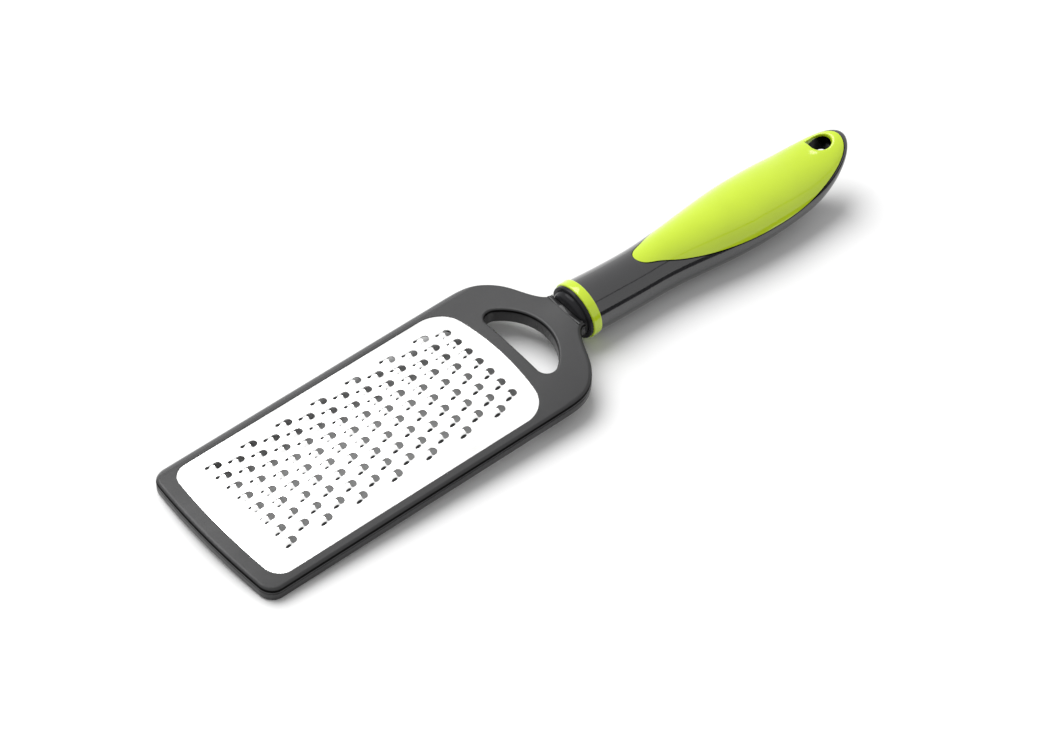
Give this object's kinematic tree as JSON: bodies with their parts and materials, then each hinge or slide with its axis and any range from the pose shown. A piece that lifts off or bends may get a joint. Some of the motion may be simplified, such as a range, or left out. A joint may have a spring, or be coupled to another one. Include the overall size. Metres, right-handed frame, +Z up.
{
  "type": "hand grater",
  "caption": "Hand-held rasp grater: arched steel plate of scoop teeth in a dark frame, round neck with a lime ring, and a swelling handle with a lime cover and a hanging hole.",
  "frame": {"origin": "on the table under the middle of the whole object", "axes": "+X from the tip of the head towards the end of the handle, +Y across, +Z up, as the object lies on a table with its teeth up"},
  "size_m": [0.2896, 0.0668, 0.0244],
  "materials": {
    "polished_steel": "bright polished stainless sheet",
    "frame_matte": "fine matte moulded plastic",
    "frame_satin": "satin moulded plastic",
    "lime_plastic": "smooth glossy moulded plastic",
    "handle_black": "smooth glossy moulded plastic",
    "screw_steel": "zinc-plated steel"
  },
  "bodies": {
    "root": {"grater_plate": "polished_steel", "front_bezel": "frame_matte", "rear_frame": "frame_satin", "collar_ring": "lime_plastic", "handle_body": "handle_black", "grip_cover": "lime_plastic", "tang_screw": "screw_steel"}
  },
  "joints": []
}
